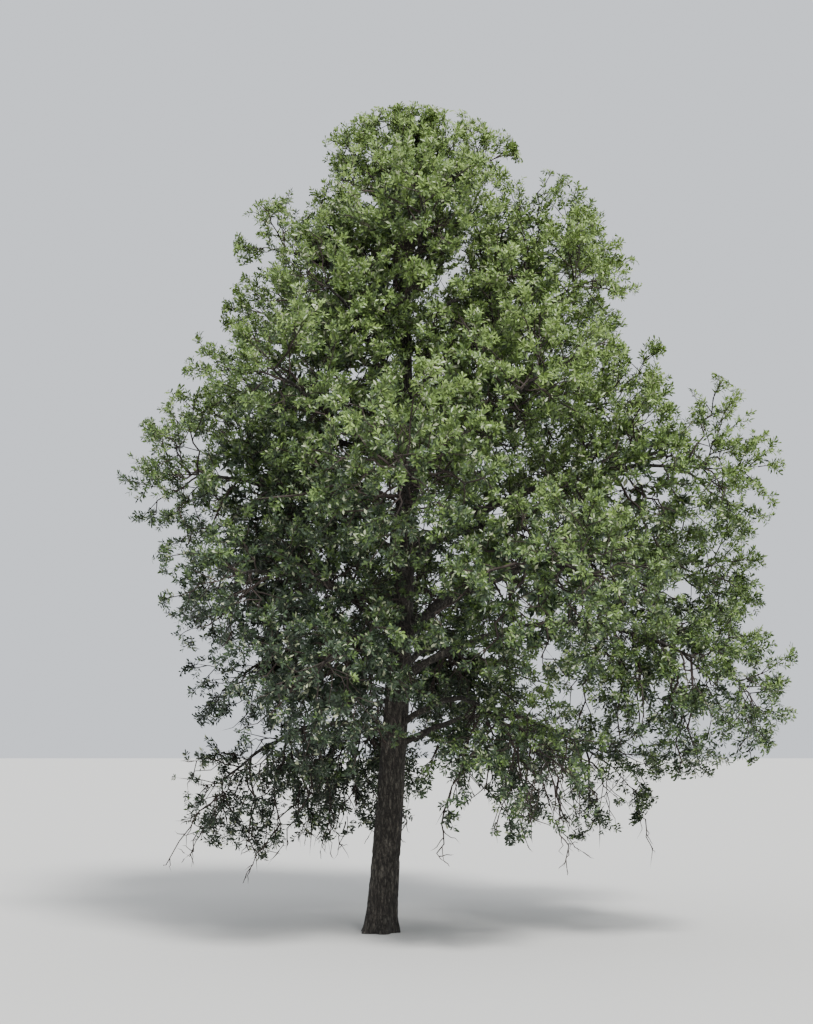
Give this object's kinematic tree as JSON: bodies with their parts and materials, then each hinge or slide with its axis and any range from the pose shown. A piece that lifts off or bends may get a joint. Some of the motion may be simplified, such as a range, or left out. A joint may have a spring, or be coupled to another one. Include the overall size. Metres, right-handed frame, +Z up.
{
  "type": "oak tree",
  "caption": "Small free-standing oak with a leaning trunk, tiers of arching boughs and a broad, loose, rounded crown of small leaves that hangs low.",
  "frame": {"origin": "middle of the flat cut under the trunk, at ground level", "axes": "+Z up, +X to the right as the picture shows the tree, +Y away from the viewer"},
  "size_m": [5.2188, 5.2298, 6.4772],
  "materials": {
    "bark": "rough, fissured, dark grey-brown",
    "foliage": "matt to slightly waxy green"
  },
  "bodies": {
    "root": {"trunk": "bark", "bough_skirt_1": "bark", "bough_skirt_2": "bark", "bough_skirt_3": "bark", "bough_skirt_4": "bark", "bough_low_1": "bark", "bough_low_2": "bark", "bough_low_3": "bark", "bough_low_4": "bark", "bough_broad_1": "bark", "bough_broad_2": "bark", "bough_broad_3": "bark", "bough_broad_4": "bark", "bough_broad_5": "bark", "bough_middle_1": "bark", "bough_middle_2": "bark", "bough_middle_3": "bark", "bough_middle_4": "bark", "bough_middle_5": "bark", "bough_high_1": "bark", "bough_high_2": "bark", "bough_high_3": "bark", "bough_high_4": "bark", "bough_high_5": "bark", "foliage_skirt_1": "foliage", "foliage_skirt_2": "foliage", "foliage_skirt_3": "foliage", "foliage_skirt_4": "foliage", "foliage_low_1": "foliage", "foliage_low_2": "foliage", "foliage_low_3": "foliage", "foliage_low_4": "foliage", "foliage_broad_1": "foliage", "foliage_broad_2": "foliage", "foliage_broad_3": "foliage", "foliage_broad_4": "foliage", "foliage_broad_5": "foliage", "foliage_middle_1": "foliage", "foliage_middle_2": "foliage", "foliage_middle_3": "foliage", "foliage_middle_4": "foliage", "foliage_middle_5": "foliage", "foliage_high_1": "foliage", "foliage_high_2": "foliage", "foliage_high_3": "foliage", "foliage_high_4": "foliage", "foliage_high_5": "foliage", "foliage_shoulder_1": "foliage", "foliage_shoulder_2": "foliage", "foliage_shoulder_3": "foliage", "foliage_shoulder_4": "foliage", "foliage_upper_1": "foliage", "foliage_upper_2": "foliage", "foliage_upper_3": "foliage", "foliage_upper_4": "foliage", "foliage_peak_1": "foliage", "foliage_peak_2": "foliage", "foliage_peak_3": "foliage", "foliage_top": "foliage"}
  },
  "joints": []
}
